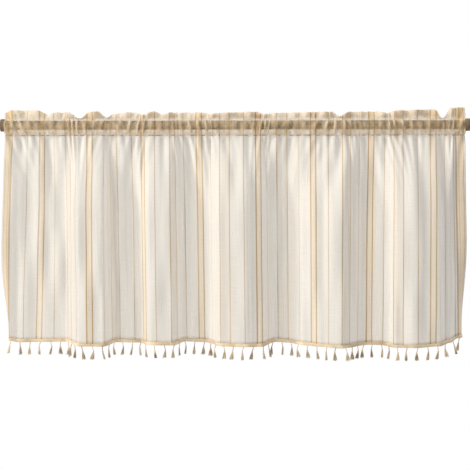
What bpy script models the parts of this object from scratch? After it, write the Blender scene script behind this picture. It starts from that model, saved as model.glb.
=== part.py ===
"""A sheer cafe curtain gathered on a tension rod, with a tassel trim along its hem.

The rod lies along +X with its axis at Y = 0, Z = 0, and the origin is the middle of the left end
cap's outer face. The curtain hangs down -Z and its face side looks towards -Y. Metres.
"""

import math
import random
from collections import namedtuple

import bmesh
import bpy
import numpy as np
from mathutils import Matrix, Vector

# The rod and its caps
ROD_LENGTH = 1.159  # over both caps, which is the gap that the rod spans
ROD_RADIUS = 0.011
CAP_RADIUS = 0.0155
CAP_LENGTH = 0.0105
SOCKET_FLOOR = 0.0035  # thickness of a cap behind the end of the rod
CAP_EDGE = 0.0012  # the bevel round a cap's outer face, and the depth of its grooves
CAP_GROOVES = (0.0072, 0.0044)  # each groove's height above the cap's inner rim
GROOVE_HALF = 0.0008
RIM_EDGE = 0.0010
FIT_GAP = 0.0003

# The cloth
CLOTH_THICKNESS = 0.0013
HEM_DROP = 0.541  # from the rod's axis down to the hem
STITCH_DROP = 0.025  # from the rod's axis down to the seam that closes the pocket
GATHERED = 0.12  # how far the folds stand out at that seam, as a share of their depth at the hem
OPEN_DROP = 0.20  # below the seam, where the folds have opened fully
SWING = 0.065  # how much lower a fold hangs for each metre that it stands forward
COLUMNS = 80
CORNER_WIDTH = 0.045  # how far in from a side edge its bow reaches
LEFT_BOW = 0.0045  # how far the side edges bow out between the pocket and the hem
RIGHT_BOW = 0.002
LEFT_HEM = 0.0185  # the widths of the turned side hems, which lie outside the turns of the folds
RIGHT_HEM = 0.0245

# The side hems curl back towards the bottom corners: by how much there, from how far below the
# pocket's seam, and over what drop
Curl = namedtuple("Curl", "angle start reach")
LEFT_CURL = Curl(math.radians(80), 0.25, 0.26)
RIGHT_CURL = Curl(math.radians(62), 0.21, 0.27)

# The pocket's hollow is round, and hangs a little below the rod's axis
POCKET_RADIUS = 0.0142
POCKET_SAG = 0.0012
HEADING_HALF = 0.0017  # from the middle of the heading out to each of its two layers
HEADING_SWAY = 0.25  # how far the heading's top leans with the folds, as a share of their depth
HEADING_RISE = 0.026  # how high above the rod the heading stands when it leans fully
FOLD_RISE = 0.0012  # from the two layers' ends up to the fold that joins them
SEAM_HALF = 0.0017  # between the panel and the turned edge sewn behind it

# The tassel trim
TAPE_HEIGHT = 0.009
TAPE_BELOW = 0.0028  # how far the tape reaches below the hem
TAPE_THICKNESS = 0.0012
TAPE_GAP = 0.0007  # between the cloth and the tape sewn to it
TASSELS = 56
TASSEL_INSET = 0.022  # from each side edge to the first tassel
TASSEL_SIDES = 6
TASSEL_LEAN = math.radians(7)

# The turns of the folds from left to right: where each one is along the rod in the pocket and at
# the hem, how far it stands forward of the rod at the hem, and how much the hem is lifted there
Turn = namedtuple("Turn", "pocket hem forward lift")
TURNS = [
    Turn(0.0295, 0.0165, -0.002, 0.006),
    Turn(0.050, 0.034, -0.012, 0.001),
    Turn(0.103, 0.086, -0.020, 0.000),
    Turn(0.154, 0.154, -0.026, 0.000),
    Turn(0.199, 0.202, 0.041, 0.001),
    Turn(0.252, 0.256, 0.036, 0.000),
    Turn(0.280, 0.286, -0.017, 0.001),
    Turn(0.330, 0.336, -0.019, 0.000),
    Turn(0.372, 0.378, 0.021, 0.001),
    Turn(0.420, 0.426, 0.019, 0.000),
    Turn(0.449, 0.456, -0.029, 0.001),
    Turn(0.497, 0.503, -0.030, 0.000),
    Turn(0.550, 0.554, 0.025, 0.000),
    Turn(0.594, 0.599, 0.035, 0.000),
    Turn(0.639, 0.645, 0.025, -0.001),
    Turn(0.677, 0.683, -0.030, 0.001),
    Turn(0.709, 0.714, -0.032, -0.001),
    Turn(0.752, 0.756, -0.002, -0.002),
    Turn(0.795, 0.798, 0.012, -0.003),
    Turn(0.845, 0.844, 0.035, -0.002),
    Turn(0.915, 0.913, -0.032, -0.006),
    Turn(0.948, 0.946, -0.015, -0.003),
    Turn(0.982, 0.983, 0.020, -0.003),
    Turn(1.021, 1.024, 0.030, -0.001),
    Turn(1.083, 1.084, 0.020, 0.001),
    Turn(1.104, 1.110, 0.000, 0.006),
    Turn(1.123, 1.1375, -0.022, 0.0135),
]

# The top edge of the heading: its height above the rod's axis, dipping where the gathers pinch it
Crest = namedtuple("Crest", "along height")
HEADING = [
    Crest(0.011, 0.030),
    Crest(0.022, 0.037),
    Crest(0.092, 0.037),
    Crest(0.119, 0.026),
    Crest(0.137, 0.032),
    Crest(0.168, 0.032),
    Crest(0.198, 0.017),
    Crest(0.222, 0.032),
    Crest(0.243, 0.034),
    Crest(0.265, 0.019),
    Crest(0.281, 0.028),
    Crest(0.329, 0.032),
    Crest(0.356, 0.026),
    Crest(0.382, 0.034),
    Crest(0.403, 0.027),
    Crest(0.423, 0.031),
    Crest(0.507, 0.031),
    Crest(0.522, 0.027),
    Crest(0.539, 0.030),
    Crest(0.636, 0.032),
    Crest(0.655, 0.027),
    Crest(0.673, 0.030),
    Crest(0.820, 0.032),
    Crest(0.841, 0.022),
    Crest(0.863, 0.032),
    Crest(0.937, 0.033),
    Crest(0.954, 0.029),
    Crest(0.981, 0.035),
    Crest(1.070, 0.037),
    Crest(1.092, 0.016),
    Crest(1.113, 0.041),
    Crest(1.1475, 0.043),
]

# Rows of the cloth on its way from the hem up to the pocket's seam, as shares of that height
PANEL_ROWS = [0.0, 0.27, 0.52, 0.74, 0.87, 0.95]
# Rows up one side of the pocket, by their angle round the hollow from straight down
POCKET_ANGLES = [62, 96, 132, 172]

# A tassel from the tape down: its radius and how far below the tape's edge each ring is
Ring = namedtuple("Ring", "drop radius")
TASSEL = [
    Ring(-0.0014, 0.0011),
    Ring(0.0115, 0.0011),
    Ring(0.0145, 0.0023),
    Ring(0.0325, 0.0040),
]


def ease(share):
    """0 to 1 with a level start and end."""
    share = np.clip(share, 0.0, 1.0)
    return share * share * (3.0 - 2.0 * share)


def between(rows, field, place):
    """A column of TURNS at a fractional row number, easing from turn to turn."""
    values = np.array([getattr(row, field) for row in rows])
    first = np.clip(np.floor(place).astype(int), 0, len(rows) - 2)
    return values[first] + (values[first + 1] - values[first]) * ease(place - first)


def along_rod(field, place):
    """Where a fractional row number of TURNS is along the rod."""
    return np.interp(place, np.arange(len(TURNS)), [getattr(turn, field) for turn in TURNS])


def hem_measure():
    """Fine steps along the hem: their fractional row numbers and the cloth's length up to each."""
    place = np.linspace(0.0, len(TURNS) - 1.0, 4000)
    across = along_rod("hem", place)
    forward = between(TURNS, "forward", place)
    steps = np.hypot(np.diff(across), np.diff(forward))
    return place, np.concatenate([[0.0], np.cumsum(steps)])


def cloth_width():
    """The length of the hem from one side edge to the other."""
    _, measured = hem_measure()
    return LEFT_HEM + measured[-1] + RIGHT_HEM


def places_at(lengths):
    """The fractional row numbers at these lengths of cloth from the left side edge."""
    place, measured = hem_measure()
    return np.interp(lengths - LEFT_HEM, measured, place)


def past_turns(lengths):
    """How far out each length is in a side hem, less than 0 in the left one and 0 between them."""
    _, measured = hem_measure()
    inner = lengths - LEFT_HEM
    return np.minimum(inner, 0.0) + np.maximum(inner - measured[-1], 0.0)


def hem_drop(place):
    lift = between(TURNS, "lift", place)
    return HEM_DROP + SWING * between(TURNS, "forward", place) - lift


def panel_points(lengths, share):
    """Points of the panel at a share of its height, 0 at the hem and 1 at the pocket's seam."""
    place = places_at(lengths)
    drop = STITCH_DROP + (hem_drop(place) - STITCH_DROP) * (1.0 - share)
    below = drop - STITCH_DROP
    across = along_rod("hem", place) * (1.0 - share) + along_rod("pocket", place) * share
    bow = 4.0 * share * (1.0 - share)
    left = np.exp(-((across - TURNS[0].hem) / CORNER_WIDTH) ** 2)
    right = np.exp(-((TURNS[-1].hem - across) / CORNER_WIDTH) ** 2)
    across = across + bow * (RIGHT_BOW * right - LEFT_BOW * left)
    opened = GATHERED + (1.0 - GATHERED) * ease(below / OPEN_DROP)
    forward = between(TURNS, "forward", place) * opened
    past = past_turns(lengths)
    left_angle = LEFT_CURL.angle * ease((below - LEFT_CURL.start) / LEFT_CURL.reach)
    right_angle = RIGHT_CURL.angle * ease((below - RIGHT_CURL.start) / RIGHT_CURL.reach)
    angle = np.where(past < 0.0, left_angle, right_angle)
    across = across + past * np.cos(angle)
    back = np.abs(past) * np.sin(angle) - forward
    return np.stack([across, back, -drop], axis=1)


def heading_height(across):
    """The heading's top edge, easing between the crests and the dips."""
    place = np.interp(across, [crest.along for crest in HEADING], np.arange(len(HEADING)))
    return between(HEADING, "height", place)


def pocket_rows(lengths):
    """The cloth round the rod: up its front, over the heading's fold, down its back to the seam."""
    seam = panel_points(lengths, 1.0)
    across = seam[:, 0]
    top = heading_height(across)
    swell = -seam[:, 1]
    front = []
    back = []
    for angle in POCKET_ANGLES:
        side = math.sin(math.radians(angle))
        height = -POCKET_SAG - math.cos(math.radians(angle)) * POCKET_RADIUS
        level = np.full_like(across, height)
        out = POCKET_RADIUS * side
        front.append(np.stack([across, -out - side * np.maximum(swell, 0.0), level], axis=1))
        back.append(np.stack([across, out + side * np.maximum(-swell, 0.0), level], axis=1))
    depth = between(TURNS, "forward", places_at(lengths))
    lean = -HEADING_SWAY * depth * ease((top - ROD_RADIUS) / HEADING_RISE)
    front.append(np.stack([across, lean - HEADING_HALF, top - FOLD_RISE], axis=1))
    back.append(np.stack([across, lean + HEADING_HALF, top - FOLD_RISE], axis=1))
    fold = np.stack([across, lean, top], axis=1)
    turned_edge = seam + np.array([0.0, SEAM_HALF, 0.0])
    return front + [fold] + back[::-1] + [turned_edge]


def new_object(name, mesh, collection, material):
    piece = bpy.data.objects.new(name, mesh)
    collection.objects.link(piece)
    mesh.materials.append(material)
    return piece


def finish(name, colour, roughness, metallic=0.0):
    material = bpy.data.materials.new(name)
    material.use_nodes = True
    shader = material.node_tree.nodes["Principled BSDF"]
    shader.inputs["Base Color"].default_value = (*colour, 1.0)
    shader.inputs["Roughness"].default_value = roughness
    shader.inputs["Metallic"].default_value = metallic
    return material


def surface_mesh(name, rows):
    """A sheet through rows of points, a row above the last one, facing -Y."""
    count = len(rows[0])
    points = np.concatenate(rows)
    low = np.arange(len(rows) - 1)[:, None] * count + np.arange(count - 1)[None, :]
    faces = np.stack([low, low + 1, low + count + 1, low + count], axis=-1).reshape(-1, 4)
    mesh = bpy.data.meshes.new(name)
    mesh.from_pydata(points.tolist(), [], faces.tolist())
    mesh.shade_smooth()
    return mesh


def add_thickness(piece, thickness):
    solid = piece.modifiers.new("Thickness", "SOLIDIFY")
    solid.thickness = thickness
    solid.offset = 0.0


def cloth_columns():
    """Lengths of cloth from the left side edge: each edge, each side hem's seam and evenly between."""
    width = cloth_width()
    panel = np.linspace(LEFT_HEM, width - RIGHT_HEM, COLUMNS - 1)
    return np.concatenate([[0.0], panel, [width]])


def build_cloth(collection):
    lengths = cloth_columns()
    rows = [panel_points(lengths, share) for share in PANEL_ROWS + [1.0]]
    mesh = surface_mesh("curtain_cloth", rows + pocket_rows(lengths))
    cloth = new_object("curtain_cloth", mesh, collection, finish("voile", (0.90, 0.87, 0.81), 0.85))
    add_thickness(cloth, CLOTH_THICKNESS)


def tape_line(lengths):
    """The tape's mid line in plan, just in front of the cloth, and the height of its lower edge."""
    hem = panel_points(lengths, 0.0)
    run = np.gradient(hem[:, :2], axis=0)
    run /= np.linalg.norm(run, axis=1)[:, None]
    clear = CLOTH_THICKNESS / 2 + TAPE_GAP + TAPE_THICKNESS / 2
    line = hem.copy()
    line[:, 0] += run[:, 1] * clear
    line[:, 1] -= run[:, 0] * clear
    line[:, 2] -= TAPE_BELOW
    return line


def tassel_shape(shapes, root, lean_x, lean_y):
    """A cord that widens into a flared bundle, as rings of a few sides, swung about its root."""
    swing = Matrix.Translation(root) @ Matrix.Rotation(lean_x, 4, "Y") @ Matrix.Rotation(lean_y, 4, "X")
    rings = []
    for ring in TASSEL:
        circle = bmesh.ops.create_circle(
            shapes,
            segments=TASSEL_SIDES,
            radius=ring.radius,
            matrix=swing @ Matrix.Translation((0, 0, -ring.drop)),
        )
        rings.append(circle["verts"])
    for upper, lower in zip(rings, rings[1:]):
        for side in range(TASSEL_SIDES):
            following = (side + 1) % TASSEL_SIDES
            shapes.faces.new((upper[following], upper[side], lower[side], lower[following]))
    shapes.faces.new(rings[0])
    shapes.faces.new(rings[-1][::-1])


def build_fringe(collection, joiners):
    lengths = cloth_columns()
    line = tape_line(lengths)
    upper = line + np.array([0.0, 0.0, TAPE_HEIGHT])
    fringe = new_object(
        "tassel_fringe", surface_mesh("tassel_fringe", [line, upper]), collection,
        finish("tape_cotton", (0.62, 0.46, 0.28), 0.9),
    )
    add_thickness(fringe, TAPE_THICKNESS)

    reach = np.linspace(TASSEL_INSET, lengths[-1] - TASSEL_INSET, TASSELS)
    roots = np.stack([np.interp(reach, lengths, line[:, axis]) for axis in range(3)], axis=1)
    shapes = bmesh.new()
    chance = random.Random(7)
    for root in roots:
        lean_x = chance.uniform(-TASSEL_LEAN, TASSEL_LEAN)
        lean_y = chance.uniform(-TASSEL_LEAN, TASSEL_LEAN) / 2
        tassel_shape(shapes, Vector(root), lean_x, lean_y)
    bmesh.ops.recalc_face_normals(shapes, faces=shapes.faces)
    mesh = bpy.data.meshes.new("tassels")
    shapes.to_mesh(mesh)
    shapes.free()
    tassels = bpy.data.objects.new("tassels", mesh)
    joiners.objects.link(tassels)
    tassels.hide_render = True
    tassels.display_type = "WIRE"
    union = fringe.modifiers.new("Tassels", "BOOLEAN")
    union.operation = "UNION"
    union.object = tassels


def build_rod(collection):
    shapes = bmesh.new()
    length = ROD_LENGTH - 2 * (SOCKET_FLOOR + FIT_GAP)
    bmesh.ops.create_cone(
        shapes, cap_ends=True, segments=32, radius1=ROD_RADIUS, radius2=ROD_RADIUS, depth=length
    )
    mesh = bpy.data.meshes.new("curtain_rod")
    shapes.to_mesh(mesh)
    shapes.free()
    mesh.shade_smooth()
    mesh.set_sharp_from_angle(angle=math.radians(40))
    rod = new_object("curtain_rod", mesh, collection, finish("rod_paint", (0.42, 0.33, 0.24), 0.45, 0.4))
    rod.location = (ROD_LENGTH / 2, 0, 0)
    rod.rotation_euler = (0, math.pi / 2, 0)


def cap_profile():
    """Half of a cap's section, radius and height: down its ribbed side, then into the socket."""
    groove_floor = CAP_RADIUS - CAP_EDGE
    side = [(0.0, CAP_LENGTH), (groove_floor, CAP_LENGTH), (CAP_RADIUS, CAP_LENGTH - CAP_EDGE)]
    for groove in CAP_GROOVES:
        side += [
            (CAP_RADIUS, groove + GROOVE_HALF),
            (groove_floor, groove),
            (CAP_RADIUS, groove - GROOVE_HALF),
        ]
    socket = ROD_RADIUS + FIT_GAP
    floor = CAP_LENGTH - SOCKET_FLOOR
    rim = [(CAP_RADIUS, RIM_EDGE), (CAP_RADIUS - RIM_EDGE, 0.0), (socket, 0.0)]
    return side + rim + [(socket, floor), (0.0, floor)]


def build_caps(collection):
    """A ribbed cup over each end of the rod, its closed face outwards."""
    profile = bpy.data.meshes.new("rod_cap")
    points = [(radius, 0.0, height) for radius, height in cap_profile()]
    profile.from_pydata(points, [(n, n + 1) for n in range(len(points) - 1)], [])
    rubber = finish("cap_rubber", (0.20, 0.15, 0.11), 0.8)
    profile.materials.append(rubber)
    for name, along, turn in (
        ("rod_cap_left", CAP_LENGTH, -math.pi / 2),
        ("rod_cap_right", ROD_LENGTH - CAP_LENGTH, math.pi / 2),
    ):
        cap = bpy.data.objects.new(name, profile)
        collection.objects.link(cap)
        cap.location = (along, 0, 0)
        cap.rotation_euler = (0, turn, 0)
        spin = cap.modifiers.new("Turned", "SCREW")
        spin.steps = 24
        spin.render_steps = 24
        spin.use_merge_vertices = True
        spin.merge_threshold = 0.00001
        spin.use_smooth_shade = False


def main():
    for piece in list(bpy.data.objects):
        bpy.data.objects.remove(piece, do_unlink=True)
    curtain = bpy.data.collections.new("cafe_curtain")
    joiners = bpy.data.collections.new("joiners")
    for collection in (curtain, joiners):
        bpy.context.scene.collection.children.link(collection)
    build_cloth(curtain)
    build_fringe(curtain, joiners)
    build_rod(curtain)
    build_caps(curtain)


main()
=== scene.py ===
import math

import bpy
import numpy as np
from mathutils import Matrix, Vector


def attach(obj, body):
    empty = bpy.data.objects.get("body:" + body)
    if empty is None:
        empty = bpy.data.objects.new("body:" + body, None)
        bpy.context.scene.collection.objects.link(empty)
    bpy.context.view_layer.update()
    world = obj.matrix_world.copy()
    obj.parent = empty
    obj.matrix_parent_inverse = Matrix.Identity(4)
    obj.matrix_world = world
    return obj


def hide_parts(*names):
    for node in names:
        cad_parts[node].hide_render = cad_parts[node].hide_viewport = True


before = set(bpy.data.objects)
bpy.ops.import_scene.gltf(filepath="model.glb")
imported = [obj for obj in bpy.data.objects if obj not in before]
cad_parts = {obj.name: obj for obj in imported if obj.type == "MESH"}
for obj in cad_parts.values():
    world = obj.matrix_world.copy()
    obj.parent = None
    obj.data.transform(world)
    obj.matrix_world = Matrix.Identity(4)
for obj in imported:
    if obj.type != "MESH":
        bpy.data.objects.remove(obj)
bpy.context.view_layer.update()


def ease(x):
    # 0 to 1 with a level start and end: 3x^2 - 2x^3
    x = np.clip(x, 0.0, 1.0)
    return x * x * (3.0 - 2.0 * x)


def easedColumn(values, place):
    # a table column read at a fractional row number, easing from row to row
    first = np.clip(np.floor(place).astype(int), 0, len(values) - 2)
    return values[first] + (values[first + 1] - values[first]) * ease(place - first)


def unit(v):
    return v / np.maximum(np.linalg.norm(v, axis=-1, keepdims=True), 1e-12)


def gridFaces(rows, cols, wrap=False):
    # quads between neighbouring points of a rows x cols grid; wrap joins the last column to the first
    r = np.arange(rows - 1)[:, None] * cols
    c = np.arange(cols if wrap else cols - 1)[None, :]
    d = (c + 1) % cols
    return np.stack([r + c, r + d, r + cols + d, r + cols + c], axis=-1).reshape(-1, 4)


def makePiece(name, points, faces, material):
    mesh = bpy.data.meshes.new(name)
    mesh.from_pydata(points.reshape(-1, 3).tolist(), [], faces)
    mesh.polygons.foreach_set("use_smooth", np.full(len(mesh.polygons), True))
    mesh.update()
    mesh.materials.append(material)
    piece = bpy.data.objects.new(name, mesh)
    bpy.context.scene.collection.objects.link(piece)
    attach(piece, "root")
    return piece


def paintFlat(piece, across, along):
    # one UV coordinate per point, in metres of flat cloth, copied to the face corners
    layer = piece.data.uv_layers.new(name="flat")
    corner = np.empty(len(piece.data.loops), dtype=np.int32)
    piece.data.loops.foreach_get("vertex_index", corner)
    uv = np.stack([across.ravel()[corner], along.ravel()[corner]], axis=-1)
    layer.data.foreach_set("uv", uv.astype(np.float32).ravel())


hang = {
    "hemDrop": 0.541,      # from the rod's axis down to the hem
    "seamDrop": 0.025,     # down to the seam that closes the pocket
    "gathered": 0.12,      # how far the folds stand out at that seam, as a share of their depth
    "openDrop": 0.20,      # below the seam, where they have opened fully
    "seamGather": 0.0028,  # depth of the small gathers at the seam
    "gatherFade": 0.050,   # and how far below it they have mostly faded
    "swing": 0.065,        # how much lower a fold hangs for each metre that it stands forward
    "cornerWidth": 0.045,  # how far in from a side edge its bow reaches
    "leftBow": 0.0045,     # how far the side edges bow out between the pocket and the hem
    "rightBow": 0.002,
    "leftHem": 0.0185,     # widths of the turned side hems, outside the turns of the folds
    "rightHem": 0.0245,
    # the side hems curl back towards the bottom corners: degrees there, from how far below
    # the seam, over what drop
    "leftCurl": (80, 0.25, 0.26),
    "rightCurl": (62, 0.21, 0.27),
    "rodRadius": 0.011,
    "pocketRadius": 0.0142,  # of the hollow that the cloth forms round it
    "pocketSag": 0.0012,   # how far the pocket's hollow hangs below the rod's axis
    "neck": 0.0165,        # height above that axis where the heading's two layers meet
    "headingSway": 0.25,   # how far the heading's top leans with the folds, as a share of their depth
    "headingRise": 0.026,  # how high above the rod it stands when it leans fully
    "foldRise": 0.0012,    # from the two layers' ends up to the fold that joins them
    "layerHalf": 0.0017,   # from the middle of the heading out to each layer
    "puff": 0.0024,        # how far the gathers round the rod swell out and in
    "gatherPitch": 0.023,  # length of cloth from one small gather to the next
    "pleatPitch": 0.052,   # and from one of the heading's broader pleats to the next
    "crestHighlightGain": 2.7,      # a higher value widens the crests of the gathers, which are painted lighter and denser as a highlight
    "gatherSway": 0.0032,  # how far the heading stands out in gathers, and in broader pleats
    "pleatSway": 0.0050,
}

# the turns of the folds: along the rod in the pocket, along the rod at the hem,
# forward of the rod at the hem, lift of the hem
foldTurns = np.array([
    (0.0295, 0.0165, -0.002, 0.006),
    (0.050, 0.034, -0.012, 0.001),
    (0.103, 0.086, -0.020, 0.000),
    (0.154, 0.154, -0.026, 0.000),
    (0.199, 0.202, 0.041, 0.001),
    (0.252, 0.256, 0.036, 0.000),
    (0.280, 0.286, -0.017, 0.001),
    (0.330, 0.336, -0.019, 0.000),
    (0.372, 0.378, 0.021, 0.001),
    (0.420, 0.426, 0.019, 0.000),
    (0.449, 0.456, -0.029, 0.001),
    (0.497, 0.503, -0.030, 0.000),
    (0.550, 0.554, 0.025, 0.000),
    (0.594, 0.599, 0.035, 0.000),
    (0.639, 0.645, 0.025, -0.001),
    (0.677, 0.683, -0.030, 0.001),
    (0.709, 0.714, -0.032, -0.001),
    (0.752, 0.756, -0.002, -0.002),
    (0.795, 0.798, 0.012, -0.003),
    (0.845, 0.844, 0.035, -0.002),
    (0.915, 0.913, -0.032, -0.006),
    (0.948, 0.946, -0.015, -0.003),
    (0.982, 0.983, 0.020, -0.003),
    (1.021, 1.024, 0.030, -0.001),
    (1.083, 1.084, 0.020, 0.001),
    (1.104, 1.110, 0.000, 0.006),
    (1.123, 1.1375, -0.022, 0.0135),
])

# the heading's top edge: along the rod, height above its axis
headingCrests = np.array([
    (0.011, 0.030), (0.022, 0.037), (0.092, 0.037), (0.119, 0.026), (0.137, 0.032),
    (0.168, 0.032), (0.198, 0.017), (0.222, 0.032), (0.243, 0.034), (0.265, 0.019),
    (0.281, 0.028), (0.329, 0.032), (0.356, 0.026), (0.382, 0.034), (0.403, 0.027),
    (0.423, 0.031), (0.507, 0.031), (0.522, 0.027), (0.539, 0.030), (0.636, 0.032),
    (0.655, 0.027), (0.673, 0.030), (0.820, 0.032), (0.841, 0.022), (0.863, 0.032),
    (0.937, 0.033), (0.954, 0.029), (0.981, 0.035), (1.070, 0.037), (1.092, 0.016),
    (1.113, 0.041), (1.1475, 0.043),
])

# soft creases that run down from the pocket's seam: along the rod at the seam, sideways drift
# to the crease's foot, how far down it reaches, half its width, how deep it is
creases = np.array([
    (0.050, 0.006, 0.16, 0.007, 0.0045),
    (0.078, -0.008, 0.10, 0.005, -0.0035),
    (0.119, 0.010, 0.22, 0.008, 0.0060),
    (0.150, 0.022, 0.20, 0.006, -0.0045),
    (0.198, -0.004, 0.28, 0.007, 0.0060),
    (0.226, 0.008, 0.12, 0.005, -0.0040),
    (0.265, 0.018, 0.26, 0.008, 0.0065),
    (0.300, 0.014, 0.14, 0.006, -0.0040),
    (0.330, 0.012, 0.18, 0.006, 0.0045),
    (0.356, -0.006, 0.24, 0.007, 0.0060),
    (0.403, 0.016, 0.22, 0.007, 0.0060),
    (0.432, 0.014, 0.15, 0.005, -0.0040),
    (0.466, 0.018, 0.20, 0.006, 0.0045),
    (0.492, -0.010, 0.13, 0.005, -0.0035),
    (0.522, -0.004, 0.26, 0.007, 0.0060),
    (0.560, 0.006, 0.12, 0.006, 0.0035),
    (0.600, 0.008, 0.18, 0.006, -0.0040),
    (0.655, 0.010, 0.27, 0.008, 0.0065),
    (0.688, -0.012, 0.15, 0.005, -0.0040),
    (0.722, -0.008, 0.20, 0.007, 0.0050),
    (0.765, 0.008, 0.13, 0.005, -0.0035),
    (0.800, -0.010, 0.18, 0.006, 0.0045),
    (0.841, -0.006, 0.26, 0.008, 0.0065),
    (0.876, 0.014, 0.14, 0.005, -0.0040),
    (0.905, 0.010, 0.19, 0.006, 0.0045),
    (0.954, -0.004, 0.24, 0.007, 0.0055),
    (0.990, 0.010, 0.13, 0.005, -0.0040),
    (1.030, 0.012, 0.17, 0.006, 0.0045),
    (1.092, 0.006, 0.28, 0.008, 0.0070),
    (1.122, -0.004, 0.12, 0.005, -0.0035),
])


def acrossAt(column, place):
    return np.interp(place, np.arange(len(foldTurns)), foldTurns[:, column])


def measureHem():
    # running length of the hem against the fractional row number of foldTurns
    place = np.linspace(0.0, len(foldTurns) - 1.0, 6000)
    steps = np.hypot(np.diff(acrossAt(1, place)), np.diff(easedColumn(foldTurns[:, 2], place)))
    return place, np.concatenate([[0.0], np.cumsum(steps)])


hemPlaces, hemLengths = measureHem()
flatWidth = hang["leftHem"] + hemLengths[-1] + hang["rightHem"]


def placeAt(length):
    return np.interp(length - hang["leftHem"], hemLengths, hemPlaces)


def sideCurl(length, below):
    # the side hems beyond the last turns: how far across and how far back they reach
    inner = length - hang["leftHem"]
    past = np.minimum(inner, 0.0) + np.maximum(inner - hemLengths[-1], 0.0)
    angles = []
    for degrees, start, reach in (hang["leftCurl"], hang["rightCurl"]):
        angles.append(math.radians(degrees) * ease((below - start) / reach))
    angle = np.where(past < 0.0, *angles)
    return past * np.cos(angle), np.abs(past) * np.sin(angle)


def gatherWave(length, height, lag=0.0):
    # small uneven gathers: a sine of the cloth's length whose own pace drifts, in waves that
    # swell and fade along the rod and slant a little as they rise
    slant = 0.34 * np.sin(length * 11.3 + 0.7 + lag) + 0.16 * np.sin(length * 37.0 + lag)
    turn = 2 * math.pi * (length + slant * height) / hang["gatherPitch"]
    drift = 2.1 * np.sin(length * 9.7 + 0.6 + lag) + 1.3 * np.sin(length * 23.0 + lag * 2.0)
    swell = 0.62 + 0.38 * np.sin(length * 31.0 + 1.1 + lag)
    return swell * np.sin(turn + drift + lag)


def gatherCrestHighlight(length, height):
    # 1 along the very crests of the gathers, where the cloth doubles up, falling off steeply; it sets
    # where a highlight is painted along them
    return np.maximum(gatherWave(length, height), 0.0) ** 5 * hang["crestHighlightGain"]


def pleatWave(length):
    # the heading's broader pleats: a sine whose pace drifts
    drift = 1.8 * np.sin(length * 7.3) + 1.1 * np.sin(length * 19.0 + 1.0)
    return np.sin(2 * math.pi * length / hang["pleatPitch"] + drift)


def looseFolds(length, below):
    # shallow soft folds between the deep ones: two sines of the cloth's length that wander
    # sideways with the drop, strongest half way down and stilled by the tape at the hem
    wander = 1.5 * np.sin(below * 6.3 + length * 2.9) + 0.8 * np.sin(below * 13.0 - length * 5.0)
    first = np.sin(2 * math.pi * length / 0.047 + wander + 0.7 * np.sin(length * 17.0))
    second = np.sin(2 * math.pi * length / 0.071 - 1.3 * wander + 2.0)
    strength = ease(below / 0.10) * (1.0 - 0.65 * ease((below - 0.36) / 0.16))
    return (0.0017 * first + 0.0022 * second) * strength


def creaseRelief(across, below):
    # sum of soft troughs and ridges: each a bell across its slanting line, strongest at the
    # seam and fading out at its foot
    relief = np.zeros(np.broadcast(across, below).shape)
    for start, drift, reach, half, depth in creases:
        run = below / reach
        line = start + drift * run
        width = half * (1.0 + 1.2 * run)
        bell = np.exp(-((across - line) / width) ** 2)
        relief += depth * bell * ease(1.0 - run) * ease(below / 0.012 + 0.25)
    return relief


def panelPoints(length, share):
    # the panel at a share of its height, 0 at the hem and 1 at the seam: its place in the folds
    # gives where it is along the rod and how far forward, the folds open with the drop, and
    # the gathers and creases fade out down it
    place = placeAt(length)
    forward = easedColumn(foldTurns[:, 2], place)
    hem = hang["hemDrop"] + hang["swing"] * forward - easedColumn(foldTurns[:, 3], place)
    drop = hang["seamDrop"] + (hem - hang["seamDrop"]) * (1.0 - share)
    below = drop - hang["seamDrop"]
    across = acrossAt(1, place) * (1.0 - share) + acrossAt(0, place) * share
    bow = 4.0 * share * (1.0 - share)
    left = np.exp(-((across - foldTurns[0, 1]) / hang["cornerWidth"]) ** 2)
    right = np.exp(-((foldTurns[-1, 1] - across) / hang["cornerWidth"]) ** 2)
    across = across + bow * (hang["rightBow"] * right - hang["leftBow"] * left)
    opened = hang["gathered"] + (1.0 - hang["gathered"]) * ease(below / hang["openDrop"])
    gathers = gatherWave(length, -below) * hang["seamGather"] * np.exp(-below / hang["gatherFade"])
    aside, back = sideCurl(length, below)
    across = across + aside
    y = back - forward * opened - gathers - looseFolds(length, below) + creaseRelief(across, below)
    return np.stack(np.broadcast_arrays(across, y, -drop), axis=-1)


def headingTop(across):
    place = np.interp(across, headingCrests[:, 0], np.arange(len(headingCrests)))
    return easedColumn(headingCrests[:, 1], place)


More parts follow.
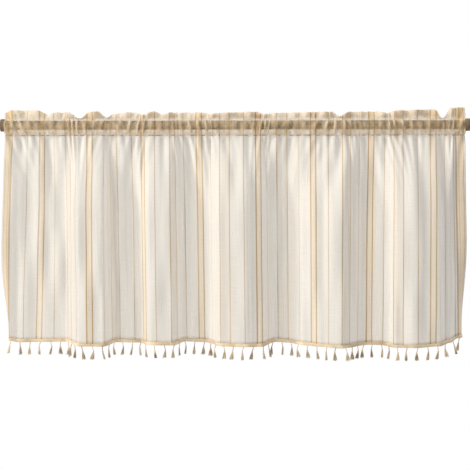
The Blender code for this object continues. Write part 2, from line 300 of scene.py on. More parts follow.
def pocketStations(length):
    # the cloth's way round the rod, as sections to be joined by a smooth curve: out from the
    # seam, round the hollow, in above the rod, up the heading, over its fold and down the back
    seam = panelPoints(length, np.array(1.0))
    across = seam[..., 0]
    forward = -seam[..., 1]
    top = headingTop(across)
    lean = -hang["headingSway"] * easedColumn(foldTurns[:, 2], placeAt(length))
    lean = lean * ease((top - hang["rodRadius"]) / hang["headingRise"])
    zero = np.zeros_like(across)

    def station(y, z):
        return np.stack([across, y + zero, z + zero], axis=-1)

    front = []
    back = []
    for angle, puff in ((35, 0.5), (62, 0.9), (96, 1.0), (132, 1.0), (158, 0.9)):
        side = math.sin(math.radians(angle))
        z = -hang["pocketSag"] - math.cos(math.radians(angle)) * hang["pocketRadius"]
        if angle < 60:  # the straight run from the seam to the hollow
            z = z * 0.55 - hang["seamDrop"] * 0.45
        frontOut = hang["pocketRadius"] + hang["puff"] * puff * gatherWave(length, z)
        backOut = hang["pocketRadius"] + hang["puff"] * puff * gatherWave(length, z, 0.9)
        front.append(station(-side * (frontOut + np.maximum(forward, 0.0)), z))
        back.append(station(side * (backOut + np.maximum(-forward, 0.0)), z))
    pleats = pleatWave(length)
    for rise, width in ((0.0, 1.0), (0.5, 1.6), (1.0, 0.7)):
        z = hang["neck"] + (top - hang["foldRise"] - hang["neck"]) * rise
        wave = hang["gatherSway"] * gatherWave(length, z, 0.2) + hang["pleatSway"] * pleats
        wave = wave * (0.2 + 0.8 * rise)
        half = hang["layerHalf"] * (0.45 + 0.35 * width)
        bulge = 0.0014 * width * np.abs(gatherWave(length, z, 0.5))
        front.append(station(lean * rise + wave - half - bulge, z))
        back.append(station(lean * rise + wave + half + bulge, z))
    ripple = 0.0009 * gatherWave(length, top, 1.3)
    wave = hang["gatherSway"] * gatherWave(length, top, 0.2) + hang["pleatSway"] * pleats
    fold = station(lean + wave, top + ripple)
    turnedEdge = seam + np.array([0.0, hang["layerHalf"] * 0.7, 0.0])
    return [seam] + front + [fold] + back[::-1] + [turnedEdge]


def smoothRows(stations, perStep):
    # Catmull-Rom curve through the sections, perStep rows between each pair
    p = np.stack([2 * stations[0] - stations[1]] + stations + [2 * stations[-1] - stations[-2]])
    f = (np.arange(perStep) / perStep)[None, :, None, None]
    a, b, c, d = (p[i:len(p) - 3 + i][:, None] for i in range(4))
    bend = (2 * a - 5 * b + 4 * c - d) * f ** 2 + (3 * b - a - 3 * c + d) * f ** 3
    rows = 0.5 * (2 * b + (c - a) * f + bend)
    return np.concatenate([rows.reshape(-1, *stations[0].shape), stations[-1][None]])


def newMaterial(name):
    material = bpy.data.materials.new(name)
    material.use_nodes = True
    material.node_tree.nodes.clear()
    return material, material.node_tree


def addNode(tree, kind, **settings):
    node = tree.nodes.new(kind)
    for key, value in settings.items():
        setattr(node, key, value)
    return node


def feed(tree, source, target):
    # a number or a colour is set on the socket itself, and anything else is linked to it
    if isinstance(source, tuple):
        target.default_value = (*source, 1.0)
    elif isinstance(source, (int, float)):
        target.default_value = source
    else:
        tree.links.new(source, target)


def maths(tree, operation, *values, clamp=False):
    node = addNode(tree, "ShaderNodeMath", operation=operation, use_clamp=clamp)
    for value, socket in zip(values, node.inputs):
        feed(tree, value, socket)
    return node.outputs[0]


def ramp(tree, source, rows, reach):
    # straight runs between rows of a distance in mm and a value; source is a share of reach, in metres
    node = addNode(tree, "ShaderNodeValToRGB")
    elements = node.color_ramp.elements
    while len(elements) < len(rows):
        elements.new(0.5)
    for element, (distance, value) in zip(elements, rows):
        element.position = distance / 1000.0 / reach
        element.color = (value, value, value, 1.0)
    feed(tree, source, node.inputs[0])
    return node.outputs[0]


def noise(tree, vector, scale, detail=2.0, roughness=0.5):
    node = addNode(tree, "ShaderNodeTexNoise")
    feed(tree, scale, node.inputs["Scale"])
    feed(tree, detail, node.inputs["Detail"])
    feed(tree, roughness, node.inputs["Roughness"])
    feed(tree, vector, node.inputs["Vector"])
    return node.outputs["Fac"]


def stretched(tree, vector, scale):
    node = addNode(tree, "ShaderNodeMapping")
    node.inputs["Scale"].default_value = scale
    feed(tree, vector, node.inputs["Vector"])
    return node.outputs[0]


def streaks(tree, flat, grain):
    # noise with a number of grains to the metre across the cloth and along it, and its detail
    across, along, detail = grain
    return noise(tree, stretched(tree, flat, (across, along, 1.0)), 1.0, detail)


def blendColour(tree, factor, first, second, mode="MIX"):
    node = addNode(tree, "ShaderNodeMix", data_type="RGBA", blend_type=mode)
    for name, value in (("Factor", factor), ("A", first), ("B", second)):
        feed(tree, value, node.inputs[name])
    return node.outputs["Result"]


def roughened(tree, height, strength, distance):
    bump = addNode(tree, "ShaderNodeBump")
    feed(tree, strength, bump.inputs["Strength"])
    feed(tree, distance, bump.inputs["Distance"])
    feed(tree, height, bump.inputs["Height"])
    return bump.outputs[0]


def newShader(tree, kind, inputs):
    # a shader with these inputs, by name or by number
    shader = addNode(tree, kind)
    for name, value in inputs.items():
        feed(tree, value, shader.inputs[name])
    return shader.outputs[0]


def showSurface(tree, shader, kind="ShaderNodeOutputMaterial"):
    feed(tree, shader, addNode(tree, kind).inputs[0])


def flatPlace(tree):
    # the flat cloth's coordinates, and its metres across and along
    flat = addNode(tree, "ShaderNodeUVMap", uv_map="flat").outputs[0]
    split = addNode(tree, "ShaderNodeSeparateXYZ")
    feed(tree, flat, split.inputs[0])
    return flat, split.outputs[0], split.outputs[1]


voile = {
    "cream": (0.895, 0.86, 0.795),
    "shade": (0.80, 0.74, 0.65),
    "tan": (0.57, 0.385, 0.19),
    "gold": (0.99, 0.81, 0.53),    # the side bands and the narrow pairs between their lines
    "thread": (0.24, 0.13, 0.05),  # the seam's
    "warmTintAndGlow": (0.99, 0.75, 0.43),    # where the cloth is doubled and gathered round the rod, partly a painted golden glow of light coming through it
    "through": (0.95, 0.90, 0.82),  # tint of the light that comes through it
    # by the way along the cloth from the heading's fold in mm: how warm it is there, partly the doubled
    # cloth's tone and partly a painted golden glow, strongest over and below the rod
    "warmthAndGlow": [
        (0.0, 0.50), (1.2, 0.32), (8.0, 0.18), (14.0, 0.38), (21.0, 0.48),
        (25.0, 0.68), (42.0, 0.76), (47.0, 0.86), (60.0, 0.76),
    ],
    # and how much its cover differs, 0.5 being not at all; it is thinnest just above the rod so that the
    # white behind shows as a painted highlight line, and thicker over the rod's lower part to paint that
    # lighter
    "densityAndHighlight": [
        (0.0, 0.70), (7.0, 0.66), (12.0, 0.48), (16.0, 0.28), (21.0, 0.26),
        (23.5, 0.12), (34.0, 0.15), (43.0, 0.30), (47.0, 0.25), (56.0, 0.22), (60.0, 0.28),
    ],
    "foldReach": 0.100,
    "repeat": 0.1759,       # from one bordered stripe to the next
    "firstStripe": 0.0932,  # from the left side edge to the first one's middle
    "waver": 0.0010,        # how far the stripes wander aside
    "pairHalf": 0.0058,     # half of a bordered stripe, inside its lines
    # distance from a bordered stripe's middle in mm, and how tan the yarn is there
    "stripes": [
        (0.0, 0.10), (5.3, 0.10), (5.8, 0.95), (8.2, 0.95), (8.8, 0.0),
        (36.8, 0.0), (37.2, 0.70), (38.8, 0.70), (39.2, 0.0),
        (73.9, 0.0), (74.3, 0.80), (76.3, 0.80), (76.8, 0.12), (87.95, 0.12),
    ],
    # and by its distance from a side edge in mm
    "sideBand": [
        (0.0, 0.0), (2.8, 0.0), (3.3, 0.65), (4.6, 0.65), (5.2, 0.06), (11.4, 0.06),
        (12.0, 0.60), (13.2, 0.60), (13.8, 0.06), (17.0, 0.06), (17.4, 0.90), (19.3, 0.90), (19.9, 0.0),
    ],
    "bandReach": 0.030,
    "bandStart": 0.003,     # where the side band's gold starts, from the edge
    "bandEnd": 0.024,       # and where the repeating stripes do
    # streaks of the weave and its tones: grains to the metre across and along, and their detail
    "warpSlub": (640.0, 6.0, 2.0),
    "wideSlub": (170.0, 1.6, 1.0),
    "weftSlub": (28.0, 900.0, 2.0),
    "fading": (7.0, 0.8, 0.0),
    "stitching": (75.0, 1.0, 1.0),
    "patches": (70.0, 50.0, 1.0),
    "bunches": (62.0, 38.0, 2.0),
    "seamHalf": 0.0017,     # half the width of the seam's thread
    "seamShown": 0.52,      # a higher value leaves out more of it
    "yarnPitch": 0.00062,   # from yarn to yarn
    "cover": 0.77,          # share of the surface that is yarn
    "slubCover": 0.42,      # how far slubs change it
    "weftShare": 0.45,      # how strong the weft's slubs are beside the warp's
    "bandGold": 0.92,       # how golden the side bands are
    "bunching": 1.25,       # how unevenly the cover changes round the rod
    "crestHighlightCover": 0.50,     # and what the cover gains along a gather's crest, where it is doubled and painted lighter as a highlight
    "hemCover": -0.18,      # and what each layer of a side hem loses
    "glow": 0.34,           # share of the yarn's light that comes through it
    "roughness": 0.82,
    "relief": (0.35, 0.0004),  # strength and height of the weave
}


def stripeDistance(tree, across, wideStreak):
    # distance to the nearest bordered stripe's middle, as a share of half a repeat
    half = voile["repeat"] / 2
    waver = maths(tree, "MULTIPLY_ADD", wideStreak, voile["waver"], across)
    shifted = maths(tree, "SUBTRACT", waver, voile["firstStripe"] + voile["waver"] / 2)
    return maths(tree, "DIVIDE", maths(tree, "PINGPONG", shifted, half), half)


def edgeDistance(tree, across):
    # distance from the nearer side edge, in widths of the left hem
    narrower = hang["leftHem"] / hang["rightHem"]
    fromRight = maths(tree, "MULTIPLY_ADD", across, -narrower, flatWidth * narrower)
    return maths(tree, "MINIMUM", across, fromRight)


def tanShareAt(tree, flat, fromStripe, fromEdge, warpStreak):
    # how tan the yarn is: the repeating stripes, and each side band's own lines
    stripe = ramp(tree, fromStripe, voile["stripes"], voile["repeat"] / 2)
    nearEdge = maths(tree, "DIVIDE", fromEdge, voile["bandReach"], clamp=True)
    edge = ramp(tree, nearEdge, voile["sideBand"], voile["bandReach"])
    inside = maths(tree, "GREATER_THAN", fromEdge, voile["bandEnd"])
    striped = maths(tree, "MAXIMUM", maths(tree, "MULTIPLY", stripe, inside), edge)
    fading = maths(tree, "ADD", streaks(tree, flat, voile["fading"]), 0.12)
    uneven = maths(tree, "MULTIPLY_ADD", warpStreak, 0.8, fading)
    return maths(tree, "MULTIPLY", striped, uneven, clamp=True)


def seamThreadAt(tree, flat, along, warpStreak):
    # a line of brown thread that comes and goes along the foot of the pocket
    toSeam = maths(tree, "ABSOLUTE", maths(tree, "SUBTRACT", along, seamHeight))
    nearSeam = maths(tree, "LESS_THAN", toSeam, voile["seamHalf"])
    shown = maths(tree, "GREATER_THAN", streaks(tree, flat, voile["stitching"]), voile["seamShown"])
    dark = maths(tree, "MULTIPLY_ADD", warpStreak, 1.4, 0.05, clamp=True)
    return maths(tree, "MULTIPLY", maths(tree, "MULTIPLY", nearSeam, shown), dark)


def groundColour(tree, fromStripe, fromEdge, wideStreak):
    # cream to shade in streaks, and gold in the side bands and the bordered stripes
    streak = maths(tree, "MULTIPLY_ADD", wideStreak, 0.8, -0.1, clamp=True)
    ground = blendColour(tree, streak, voile["cream"], voile["shade"])
    paired = maths(tree, "LESS_THAN", fromStripe, voile["pairHalf"] / (voile["repeat"] / 2))
    paired = maths(tree, "MULTIPLY", paired, maths(tree, "MULTIPLY_ADD", wideStreak, 0.9, 0.15))
    doubled = maths(tree, "LESS_THAN", fromEdge, hang["leftHem"])
    banded = maths(tree, "MULTIPLY", doubled, maths(tree, "GREATER_THAN", fromEdge, voile["bandStart"]))
    golden = maths(tree, "MAXIMUM", maths(tree, "MULTIPLY", banded, voile["bandGold"]), paired)
    return blendColour(tree, golden, ground, voile["gold"]), doubled


def weaveRelief(tree, across, along, slub):
    # yarns that pass over and under, as two crossed waves, with the slubs standing out
    turn = 2 * math.pi / voile["yarnPitch"]
    warp = maths(tree, "SINE", maths(tree, "MULTIPLY", across, turn))
    weft = maths(tree, "SINE", maths(tree, "MULTIPLY", along, turn))
    weave = maths(tree, "MULTIPLY", maths(tree, "MULTIPLY", warp, weft), 0.3)
    return roughened(tree, maths(tree, "MULTIPLY_ADD", slub, 1.4, weave), *voile["relief"])


def voileMaterial():
    # yarns of a plain weave: cream with tan warp stripes, uneven slubs along both ways, and
    # light passing between them
    material, tree = newMaterial("stripedVoile")
    flat, across, along = flatPlace(tree)
    warpStreak = streaks(tree, flat, voile["warpSlub"])
    wideStreak = streaks(tree, flat, voile["wideSlub"])
    weftStreak = streaks(tree, flat, voile["weftSlub"])
    slub = maths(tree, "MULTIPLY_ADD", weftStreak, voile["weftShare"], warpStreak)
    fromStripe = stripeDistance(tree, across, wideStreak)
    fromEdge = edgeDistance(tree, across)
    tanShare = tanShareAt(tree, flat, fromStripe, fromEdge, warpStreak)
    sewn = seamThreadAt(tree, flat, along, warpStreak)
    ground, doubled = groundColour(tree, fromStripe, fromEdge, wideStreak)

    # the pocket and the heading: warmer, partly a painted glow of light coming through the doubled cloth,
    # and less so along the crests of the gathers, which is a painted highlight
    pocket = maths(tree, "GREATER_THAN", along, seamHeight)
    crestHighlight = addNode(tree, "ShaderNodeAttribute", attribute_name="crestHighlight").outputs["Fac"]
    crestHighlight = maths(tree, "MULTIPLY", pocket, crestHighlight)
    fromFold = maths(tree, "ABSOLUTE", maths(tree, "SUBTRACT", along, foldHeight))
    fromFold = maths(tree, "DIVIDE", fromFold, voile["foldReach"], clamp=True)
    patch = maths(tree, "ADD", streaks(tree, flat, voile["patches"]), 0.45)
    warmthAndGlow = maths(tree, "MULTIPLY", ramp(tree, fromFold, voile["warmthAndGlow"], voile["foldReach"]), patch)
    warmthAndGlow = maths(tree, "MULTIPLY", pocket, warmthAndGlow, clamp=True)
    warmthAndGlow = maths(tree, "MULTIPLY", warmthAndGlow, maths(tree, "MULTIPLY_ADD", crestHighlight, -0.50, 1.0))
    colour = blendColour(tree, warmthAndGlow, ground, voile["warmTintAndGlow"])
    colour = blendColour(tree, tanShare, colour, voile["tan"])
    colour = blendColour(tree, sewn, colour, voile["thread"])

    # cover: how much of the surface is yarn, more at slubs, in the stripes and where it bunches
    evenCover = voile["cover"] - voile["slubCover"] * (0.5 + 0.5 * voile["weftShare"])
    cover = maths(tree, "MULTIPLY_ADD", slub, voile["slubCover"], evenCover)
    cover = maths(tree, "ADD", cover, maths(tree, "MULTIPLY_ADD", wideStreak, 0.26, -0.13))
    cover = maths(tree, "MULTIPLY_ADD", tanShare, 0.20, cover, clamp=True)
    # the cover round the rod: thinned above it so the white behind shows as a painted highlight line,
    # thickened over its lower part to paint that lighter
    densityAndHighlight = ramp(tree, fromFold, voile["densityAndHighlight"], voile["foldReach"])
    bunched = maths(tree, "SUBTRACT", streaks(tree, flat, voile["bunches"]), 0.5)
    densityAndHighlight = maths(tree, "MULTIPLY_ADD", bunched, voile["bunching"], densityAndHighlight)
    closerAndHighlight = maths(tree, "MULTIPLY", pocket, maths(tree, "SUBTRACT", densityAndHighlight, 0.5))
    cover = maths(tree, "ADD", cover, closerAndHighlight)
    # a painted highlight along the gathers' crests: more cover there, partly because the cloth is doubled
    cover = maths(tree, "MULTIPLY_ADD", crestHighlight, voile["crestHighlightCover"], cover)
    cover = maths(tree, "MAXIMUM", cover, sewn)
    cover = maths(tree, "MULTIPLY_ADD", doubled, voile["hemCover"], cover, clamp=True)
    cover = maths(tree, "MINIMUM", cover, 0.97)

    normal = weaveRelief(tree, across, along, slub)
    yarn = newShader(tree, "ShaderNodeBsdfPrincipled", {
        "Base Color": colour, "Roughness": voile["roughness"], "Sheen Weight": 0.25,
        "Sheen Roughness": 0.5, "Normal": normal,
    })
    passing = blendColour(tree, 1.0, colour, voile["through"], "MULTIPLY")
    glow = newShader(tree, "ShaderNodeBsdfTranslucent", {"Color": passing, "Normal": normal})
    body = newShader(tree, "ShaderNodeMixShader", {0: voile["glow"], 1: yarn, 2: glow})
    gaps = newShader(tree, "ShaderNodeBsdfTransparent", {})
    sheer = newShader(tree, "ShaderNodeMixShader", {0: cover, 1: gaps, 2: body})
    showSurface(tree, sheer)
    return material


def yarnMaterial(name, light, dark, pitch, drift=0.0):
    # twisted yarn: slanting fibres across the piece's own u and v, mottled lighter and darker
    material, tree = newMaterial(name)
    _, across, along = flatPlace(tree)
    slant = maths(tree, "ADD", across, along)
    wave = maths(tree, "SINE", maths(tree, "MULTIPLY", slant, 2 * math.pi / pitch))
    coordinates = addNode(tree, "ShaderNodeTexCoord").outputs["Object"]
    mottle = noise(tree, coordinates, 420.0, 3.0)
    broad = maths(tree, "SUBTRACT", noise(tree, coordinates, 38.0, 1.0), 0.5)
    tone = maths(tree, "MULTIPLY_ADD", wave, 0.22, mottle)
    tone = maths(tree, "MULTIPLY_ADD", broad, drift, tone, clamp=True)
    shader = newShader(tree, "ShaderNodeBsdfPrincipled", {
        "Base Color": blendColour(tree, tone, dark, light), "Roughness": 0.85, "Sheen Weight": 0.2,
        "Normal": roughened(tree, tone, 0.6, 0.0003),
    })
    showSurface(tree, shader)
    return material


sheet = {
    "columns": 620,        # between the side hems
    "panelRows": 104,
    "rowsPerStation": 2,
    "foldStation": 9,      # which of the pocket's sections is the heading's fold
    "leftColumns": 8,      # in each side hem and in its turned layer
    "rightColumns": 11,
    "bottomRows": 2,       # and at the hem
    "sideLift": 0.00045,   # how far the turned side hem lies behind the cloth
    "bottomLift": 0.00100,
}


def clothGrid():
    # rows from the hem up the panel, round the pocket and down to its turned edge
    seams = hang["leftHem"], flatWidth - hang["rightHem"]
    left = np.linspace(0.0, seams[0], sheet["leftColumns"] + 1)
    middle = np.linspace(*seams, sheet["columns"] + 1)
    right = np.linspace(seams[1], flatWidth, sheet["rightColumns"] + 1)
    length = np.concatenate([left[:-1], middle, right[1:]])
    share = np.linspace(0.0, 1.0, sheet["panelRows"] + 1)[:-1]
    panel = panelPoints(length[None, :], share[:, None])
    loop = smoothRows(pocketStations(length), sheet["rowsPerStation"])
    base = np.concatenate([panel, loop])
    steps = np.linalg.norm(np.diff(base, axis=0), axis=2).mean(axis=1)
    height = np.concatenate([[0.0], np.cumsum(steps)])
    return length, height, base


def turnedUnder(base, length, height):
    # hems: columns and rows past the edge come back over the cloth, lifted off its inner side
    normal = unit(np.cross(np.gradient(base, axis=1), np.gradient(base, axis=0)))
    leftBack = np.arange(sheet["leftColumns"], 0, -1)
    rightBack = len(length) - 1 - np.arange(1, sheet["rightColumns"] + 1)
    rowsBack = np.arange(sheet["bottomRows"], 0, -1)
    columns = np.concatenate([leftBack, np.arange(len(length)), rightBack])
    rows = np.concatenate([rowsBack, np.arange(len(height))])
    turned = np.pad(np.zeros(len(length)), (len(leftBack), len(rightBack)), constant_values=1)
    under = np.pad(np.zeros(len(height)), (len(rowsBack), 0), constant_values=1)
    lift = sheet["sideLift"] * turned[None, :] + sheet["bottomLift"] * under[:, None]
    points = base[np.ix_(rows, columns)] - normal[np.ix_(rows, columns)] * lift[..., None]
    flatAcross = np.concatenate([-length[leftBack], length, 2 * flatWidth - length[rightBack]])
    flatAlong = np.concatenate([-height[rowsBack], height])
    return points, flatAcross, flatAlong


print("cloth: folds, pocket and hems")
length, height, clothBase = clothGrid()
seamRow = sheet["panelRows"]
seamHeight = float(height[seamRow])
foldHeight = float(height[seamRow + sheet["rowsPerStation"] * sheet["foldStation"]])
clothPoints, flatAcross, flatAlong = turnedUnder(clothBase, length, height)
clothFaces = gridFaces(*clothPoints.shape[:2]).tolist()
curtain = makePiece("curtainSheet", clothPoints, clothFaces, voileMaterial())
paintFlat(curtain, *np.broadcast_arrays(flatAcross[None, :], flatAlong[:, None]))
# the gathers' crests, kept on the cloth for its painted highlight
crestHighlight = gatherCrestHighlight(flatAcross[None, :], clothPoints[..., 2]).clip(0.0, 1.0)
crestHighlightLayer = curtain.data.attributes.new("crestHighlight", "FLOAT", "POINT")
crestHighlightLayer.data.foreach_set("value", crestHighlight.astype(np.float32).ravel())
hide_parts("curtain_cloth")


tape = {
    "height": 0.0076,
    "below": 0.0028,      # how far it reaches below the hem
    "thickness": 0.0011,
    "away": 0.0016,       # from the middle of the cloth to the tape's
    "scallop": 0.00025,   # how far its woven edges swell at each turn of the weft
    "scallopPitch": 0.0021,
    "columns": 700,
}

trimMaterial = yarnMaterial("tapeCotton", (0.94, 0.79, 0.58), (0.56, 0.40, 0.24), 0.0016, 1.6)


def hemFrame(lengths):
    # points along the hem, and the unit vectors out of its face
    hem = panelPoints(lengths, np.array(0.0))
    run = np.gradient(hem, axis=0)
    run[:, 2] = 0.0
    run = unit(run)
    return hem, np.stack([run[:, 1], -run[:, 0], np.zeros(len(run))], axis=-1)


def tapeMesh():
    # a rounded flat band carried along the hem, with a section that is thin across and tall
    lengths = np.linspace(0.0, flatWidth, tape["columns"] + 1)
    hem, out = hemFrame(lengths)
    middle = hem + out * tape["away"]
    middle[:, 2] += tape["height"] / 2 - tape["below"]
    corner = np.radians([-80, -50, -20, 20, 50, 80, 100, 130, 160, 200, 230, 260])
    half = tape["thickness"] / 2
    ring = np.stack([np.cos(corner) * half, np.sin(corner) * half], axis=-1)
    ring[:, 1] += np.sign(np.sin(corner)) * (tape["height"] / 2 - half)
    swell = tape["scallop"] * np.sin(2 * math.pi * lengths / tape["scallopPitch"])
    points = middle[:, None, :] + out[:, None, :] * ring[None, :, :1]
    points[..., 2] += ring[None, :, 1] + np.sign(ring[None, :, 1]) * swell[:, None]
    firstEnd = np.arange(len(ring))[::-1]
    lastEnd = (len(lengths) - 1) * len(ring) + np.arange(len(ring))
    faces = gridFaces(len(lengths), len(ring), wrap=True).tolist() + [firstEnd.tolist(), lastEnd.tolist()]
    piece = makePiece("hemTape", points, faces, trimMaterial)
    around = np.cumsum(np.concatenate([[0], np.linalg.norm(np.diff(ring, axis=0), axis=1)]))
    paintFlat(piece, *np.broadcast_arrays(lengths[:, None], around[None, :]))
    return piece


print("tape")
hemTape = tapeMesh()


tassel = {
    "count": 56,
    "inset": 0.022,        # from each side edge to the first tassel
    "cordLength": 0.0110,
    "cordRadius": 0.00068,
    "plyOffset": 0.00055,  # from the cord's middle to each ply's
    "plyPitch": 0.0052,    # length of cord for one turn of its plies
    "neckRadius": 0.0019,
    "neckLength": 0.0034,
    "skirtLength": 0.0180,
    "strands": 24,
    "strandRadius": 0.00048,
    "rootSpread": 0.0011,  # radius of the skirt at the neck, and the least and most at its foot
    "flare": (0.0022, 0.0060),
    "cordLean": 0.36,      # how far its cord may swing aside for each metre down
    "skirtLean": 0.24,     # and its skirt
    "seed": 11,
}

tasselMaterial = yarnMaterial("tasselCotton", (0.84, 0.70, 0.52), (0.34, 0.235, 0.14), 0.0011, 2.6)


def tubeAlong(paths, radius, sides):
    # round tubes along many paths at once: rings in the plane across each path's run
    run = unit(np.gradient(paths, axis=-2))
    helper = np.array([0.31, 0.95, 0.05])
    first = unit(np.cross(run, helper))
    second = np.cross(run, first)
    turn = 2 * math.pi * np.arange(sides) / sides
    ring = np.cos(turn)[:, None] * first[..., None, :] + np.sin(turn)[:, None] * second[..., None, :]
    return paths[..., None, :] + ring * radius[..., None, None]


def tubeFaces(count, rings, sides):
    one = gridFaces(rings, sides, wrap=True)
    starts = np.arange(count)[:, None, None] * rings * sides
    return (one[None] + starts).reshape(-1, 4)


def tasselSway(chance):
    # each tassel swings about its root on the tape, its skirt by another slope than its cord
    n = tassel["count"]
    fine = np.linspace(0.0, flatWidth, 2000)
    hem, out = hemFrame(fine)
    line = hem + out * tape["away"]
    line[:, 2] -= tape["below"]
    lengths = np.linspace(tassel["inset"], flatWidth - tassel["inset"], n)
    roots = np.stack([np.interp(lengths, fine, line[:, k]) for k in range(3)], axis=-1)
    cordSlope = chance.uniform(-1.0, 1.0, (n, 2)) * (tassel["cordLean"], tassel["cordLean"] * 0.4)
    skirtSlope = chance.uniform(-1.0, 1.0, (n, 2)) * (tassel["skirtLean"], tassel["skirtLean"] * 0.6)
    down = np.linspace(-0.003, 0.04, 44)
    share = ease((down - 0.006) / 0.010)[None, :, None]
    slope = cordSlope[:, None, :] * (1.0 - share) + skirtSlope[:, None, :] * share
    sway = np.cumsum(slope, axis=1) * (down[1] - down[0])
    sway -= sway[:, 3:4]

    def place(local):
        # local = sideways, depth and way down, carried by the tassel's own swaying line
        aside = np.empty(local.shape[:-1] + (2,))
        for k, axis in np.ndindex(n, 2):
            aside[k, ..., axis] = np.interp(local[k, ..., 2], down, sway[k, :, axis])
        root = roots.reshape((n,) + (1,) * (local.ndim - 2) + (3,))
        return root + np.concatenate([local[..., :2] + aside, -local[..., 2:3]], axis=-1)

    return place


def cordTubes(place):
    # two plies wound round each other
    t = np.linspace(-0.0012, tassel["cordLength"] + 0.0012, 11)
    turn = 2 * math.pi * t / tassel["plyPitch"] + np.array([[0.0], [math.pi]])
    offset = tassel["plyOffset"]
    plies = np.stack(np.broadcast_arrays(np.cos(turn) * offset, np.sin(turn) * offset, t), axis=-1)
    cord = place(np.broadcast_to(plies, (tassel["count"], *plies.shape)))
    return tubeAlong(cord, np.full(cord.shape[:-1], tassel["cordRadius"]), 5)


def neckTubes(place):
    # a bound bulb
    k = np.linspace(0.0, 1.0, 7)
    neck = np.zeros((tassel["count"], 7, 3))
    neck[..., 2] = tassel["cordLength"] - 0.0004 + k * tassel["neckLength"]
    bulb = tassel["neckRadius"] * (0.30 + 0.70 * np.sin(math.pi * np.clip(k * 0.78 + 0.08, 0, 1)) ** 0.7)
    return tubeAlong(place(neck), np.broadcast_to(bulb, neck.shape[:2]), 9)


def skirtTubes(place, chance):
    # strands in a spiral of starting places, each with its own cut length
    n = tassel["count"]
    m = tassel["strands"]
    index = np.arange(m) + 0.5
    spread = np.sqrt(index / m)
    golden = index * 2.39996  # each strand a golden angle on from the last
    flare = chance.uniform(*tassel["flare"], (n, 1, 1))
    cut = tassel["skirtLength"] * chance.uniform(0.88, 1.06, (n, m, 1))
    w = np.linspace(0.0, 1.0, 6)[None, None, :]
    radius = (tassel["rootSpread"] + (flare - tassel["rootSpread"]) * w ** 0.75) * spread[None, :, None]
    angle = golden[None, :, None] + chance.uniform(-0.25, 0.25, (n, m, 1)) * w
    down = tassel["cordLength"] + tassel["neckLength"] - 0.0012 + cut * w
    strands = place(np.stack([np.cos(angle) * radius, np.sin(angle) * radius, down], axis=-1))
    thick = tassel["strandRadius"] * np.array([0.9, 1.0, 1.05, 1.05, 1.0, 0.75])
    return tubeAlong(strands, np.broadcast_to(thick, strands.shape[:-1]), 4)


def joinedTubes(name, tubes, material):
    # several arrays of tubes as one piece, each tube closed by an end face
    points = []
    faces = []
    start = 0
    flats = []
    for tube in tubes:
        rings, sides = tube.shape[-3:-1]
        each = tube.reshape(-1, rings, sides, 3)
        count = len(each)
        faces += (tubeFaces(count, rings, sides) + start).tolist()
        first = start + np.arange(count)[:, None] * rings * sides
        faces += (first + np.arange(sides)[None, ::-1]).tolist()
        faces += (first + (rings - 1) * sides + np.arange(sides)[None, :]).tolist()
        steps = np.linalg.norm(np.diff(each, axis=1), axis=-1).mean(axis=-1)
        along = np.concatenate([np.zeros((count, 1)), np.cumsum(steps, axis=1)], axis=1)
        around = np.arange(sides)[None, None, :] * 0.0006
        flats.append(np.stack(np.broadcast_arrays(around, along[:, :, None]), axis=-1).reshape(-1, 2))
        points.append(each.reshape(-1, 3))
        start += count * rings * sides
    piece = makePiece(name, np.concatenate(points), faces, material)
    paintFlat(piece, *np.concatenate(flats).T)
    return piece


print("tassels")
chance = np.random.default_rng(tassel["seed"])
tasselPlace = tasselSway(chance)
tasselTubes = [cordTubes(tasselPlace), neckTubes(tasselPlace), skirtTubes(tasselPlace, chance)]
tassels = joinedTubes("hemTassels", tasselTubes, tasselMaterial)
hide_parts("tassel_fringe")


stitch = {
    "pitch": 0.0040,     # from stitch to stitch
    "length": 0.0031,
    "radius": 0.00030,
    "lift": 0.0005,      # how far its middle rises off the cloth
}


def stitchRun(path, out):
    # dashes along a path: short arcs that rise off the cloth and dip back into it
    steps = np.linalg.norm(np.diff(path, axis=0), axis=1)
    run = np.concatenate([[0.0], np.cumsum(steps)])
    count = int(run[-1] / stitch["pitch"])
    centre = (np.arange(count) + 0.5) * stitch["pitch"]
    k = np.linspace(-0.5, 0.5, 5)
    at = centre[:, None] + k[None, :] * stitch["length"]
    place = np.stack([np.interp(at, run, path[:, a]) for a in range(3)], axis=-1)
    away = np.stack([np.interp(at, run, out[:, a]) for a in range(3)], axis=-1)
    rise = stitch["lift"] * (1.0 - (2 * k) ** 2) - 0.0001
    place = place + away * rise[None, :, None]
    thick = stitch["radius"] * np.array([0.6, 1.0, 1.0, 1.0, 0.6])
    return tubeAlong(place, np.broadcast_to(thick, (count, 5)), 5)


threadMaterial = yarnMaterial("seamThread", (0.40, 0.28, 0.16), (0.24, 0.16, 0.09), 0.0008)


def seamStitches():
    # along the pocket's seam and down both side hems
    normal = unit(np.cross(np.gradient(clothBase, axis=1), np.gradient(clothBase, axis=0)))
    runs = [(clothBase[seamRow], normal[seamRow])]
    for column in (sheet["leftColumns"] - 1, len(length) - sheet["rightColumns"]):
        runs.append((clothBase[:seamRow, column], normal[:seamRow, column]))
    return [stitchRun(path, out) for path, out in runs]


print("stitching")
seams = joinedTubes("seamStitches", seamStitches(), threadMaterial)


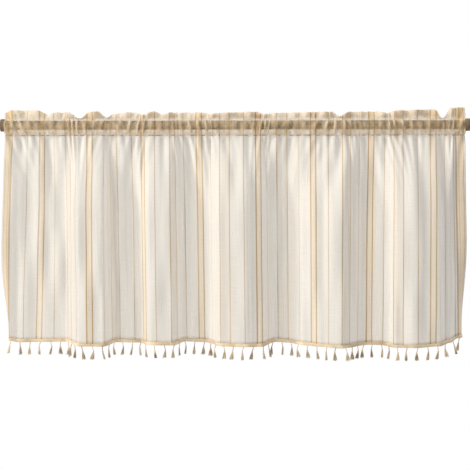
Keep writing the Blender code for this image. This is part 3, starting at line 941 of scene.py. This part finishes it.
def paintedMetal():
    # satin paint on steel tube: fine specks in tone, gloss and surface
    material, tree = newMaterial("rodPaint")
    coordinates = addNode(tree, "ShaderNodeTexCoord").outputs["Object"]
    speck = noise(tree, coordinates, 900.0, 3.0)
    cloud = noise(tree, stretched(tree, coordinates, (4.0, 60.0, 60.0)), 1.0, 2.0)
    tone = maths(tree, "MULTIPLY_ADD", speck, 0.3, maths(tree, "MULTIPLY", cloud, 0.5), clamp=True)
    shader = newShader(tree, "ShaderNodeBsdfPrincipled", {
        "Base Color": blendColour(tree, tone, (0.070, 0.044, 0.018), (0.14, 0.092, 0.042)),
        "Metallic": 0.35, "Roughness": maths(tree, "MULTIPLY_ADD", speck, 0.2, 0.32),
        "Normal": roughened(tree, speck, 0.15, 0.0002),
    })
    showSurface(tree, shader)
    return material


def mattRubber():
    # dark brown rubber, a little dusty in patches
    material, tree = newMaterial("capRubber")
    coordinates = addNode(tree, "ShaderNodeTexCoord").outputs["Object"]
    dust = noise(tree, coordinates, 260.0, 4.0, 0.6)
    grain = noise(tree, coordinates, 1600.0, 2.0)
    shader = newShader(tree, "ShaderNodeBsdfPrincipled", {
        "Base Color": blendColour(tree, dust, (0.12, 0.085, 0.05), (0.30, 0.225, 0.14)),
        "Roughness": 0.78, "Normal": roughened(tree, grain, 0.3, 0.0002),
    })
    showSurface(tree, shader)
    return material


def recoat(node, material):
    part = bpy.data.objects[node]
    for n in range(len(part.material_slots)):
        part.material_slots[n].material = material


print("rod and caps")
recoat("curtain_rod", paintedMetal())
capMaterial = mattRubber()
recoat("rod_cap_left", capMaterial)
recoat("rod_cap_right", capMaterial)


studio = {
    "aim": (0.5824, 0.0, -0.2717),
    "cameraAway": 3.0,
    "cameraTurn": math.radians(2.0),   # to the right of straight ahead
    "cameraHeight": -0.150,
    "lens": 92.84,
    "floorMiddle": (0.58, -0.77, -0.95),
    "floorRadius": 1.1,
    "around": 0.282,       # strength of the light from all round
    "seen": 1.0,           # and of the white behind the curtain
}


def layFloor():
    # a plain pale disc below the curtain, with a rounded edge: a profile turned about its middle
    size = studio["floorRadius"]
    profile = np.array([
        (0.0, 0.0), (size - 0.02, 0.0), (size - 0.006, -0.003), (size, -0.014), (size, -0.03),
    ])
    turn = 2 * math.pi * np.arange(96) / 96
    points = np.empty((len(profile), 96, 3))
    points[..., 0] = profile[:, :1] * np.cos(turn)
    points[..., 1] = profile[:, :1] * np.sin(turn)
    points[..., 2] = profile[:, 1:]
    points += studio["floorMiddle"]
    material, tree = newMaterial("stagePaper")
    paper = {"Base Color": (0.93, 0.925, 0.915), "Roughness": 0.9}
    showSurface(tree, newShader(tree, "ShaderNodeBsdfPrincipled", paper))
    mesh = bpy.data.meshes.new("stageFloor")
    mesh.from_pydata(points.reshape(-1, 3).tolist(), [], gridFaces(len(profile), 96, wrap=True).tolist())
    mesh.materials.append(material)
    stage = bpy.data.objects.new("stageFloor", mesh)
    bpy.context.scene.collection.objects.link(stage)


def paperWorld():
    # soft light from all round, dimmer than the white that is seen behind the curtain
    world = bpy.data.worlds.new("studio")
    world.use_nodes = True
    tree = world.node_tree
    tree.nodes.clear()
    kind = "ShaderNodeBackground"
    around = newShader(tree, kind, {"Color": (1.0, 0.97, 0.925), "Strength": studio["around"]})
    seen = newShader(tree, kind, {"Color": (1.0, 1.0, 1.0), "Strength": studio["seen"]})
    direct = addNode(tree, "ShaderNodeLightPath").outputs["Is Camera Ray"]
    either = newShader(tree, "ShaderNodeMixShader", {0: direct, 1: around, 2: seen})
    showSurface(tree, either, "ShaderNodeOutputWorld")
    bpy.context.scene.world = world


lamps = {
    # where it stands, what it is aimed at, its width, its power and its colour
    "keyLight": ((-2.1, -1.1, 1.0), (0.58, 0.0, -0.25), 0.5, 66.0, (1.0, 0.97, 0.92)),
    "lowLight": ((-1.0, -2.0, -1.0), (0.58, 0.0, -0.25), 0.8, 20.0, (1.0, 0.96, 0.90)),
    "backLight": ((2.4, 0.75, 1.0), (0.55, 0.0, -0.25), 0.6, 34.0, (1.0, 0.96, 0.90)),
    "topLight": ((0.80, -0.60, 1.5), (0.58, 0.0, 0.0), 0.7, 18.0, (1.0, 0.98, 0.94)),
}


def softLight(name, place, aim, size, power, colour):
    light = bpy.data.lights.new(name, "AREA")
    light.size = size
    light.energy = power
    light.color = colour
    lamp = bpy.data.objects.new(name, light)
    lamp.location = place
    lamp.rotation_euler = (Vector(aim) - Vector(place)).to_track_quat("-Z", "Y").to_euler()
    bpy.context.scene.collection.objects.link(lamp)


def setCamera():
    aim = Vector(studio["aim"])
    turn = studio["cameraTurn"]
    away = studio["cameraAway"]
    place = Vector((aim.x + math.sin(turn) * away, -math.cos(turn) * away, studio["cameraHeight"]))
    lens = bpy.data.cameras.new("camera")
    lens.lens = studio["lens"]
    camera = bpy.data.objects.new("camera", lens)
    camera.location = place
    camera.rotation_euler = (aim - place).to_track_quat("-Z", "Y").to_euler()
    bpy.context.scene.collection.objects.link(camera)
    bpy.context.scene.camera = camera


print("studio")
layFloor()
paperWorld()
for lampName, lamp in lamps.items():
    softLight(lampName, *lamp)
bpy.context.scene.view_settings.view_transform = "Standard"
setCamera()
